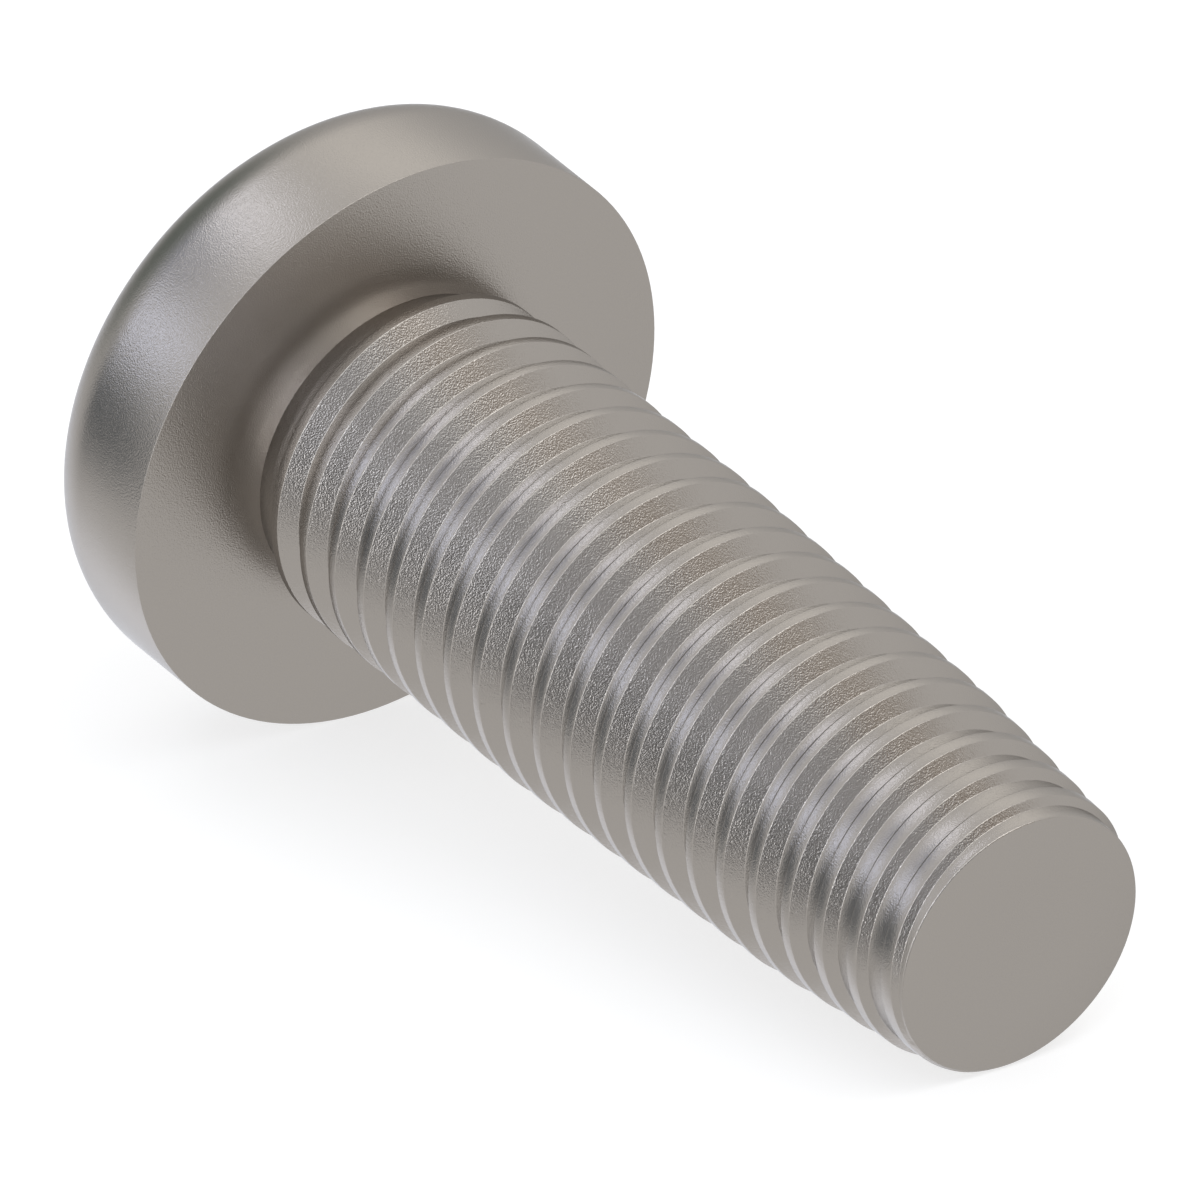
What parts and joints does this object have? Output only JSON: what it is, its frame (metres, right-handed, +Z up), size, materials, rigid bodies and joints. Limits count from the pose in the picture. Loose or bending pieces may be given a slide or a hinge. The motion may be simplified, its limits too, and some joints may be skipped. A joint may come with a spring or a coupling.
{
  "type": "pan head self-tapping screw",
  "caption": "Pan head self-tapping screw, lying down: a deep round head with a cross recess, a short plain neck, a fine-threaded shank and a tapered, flat-ended point.",
  "frame": {"origin": "point on the surface that the screw lies on, below the middle of its bounding box", "axes": "+X from the head towards the point of the lying screw, +Z up"},
  "size_m": [0.0196, 0.01, 0.0101],
  "materials": {
    "steel": "satin, fine blasted grain"
  },
  "bodies": {
    "root": {"screw": "steel"}
  },
  "joints": []
}
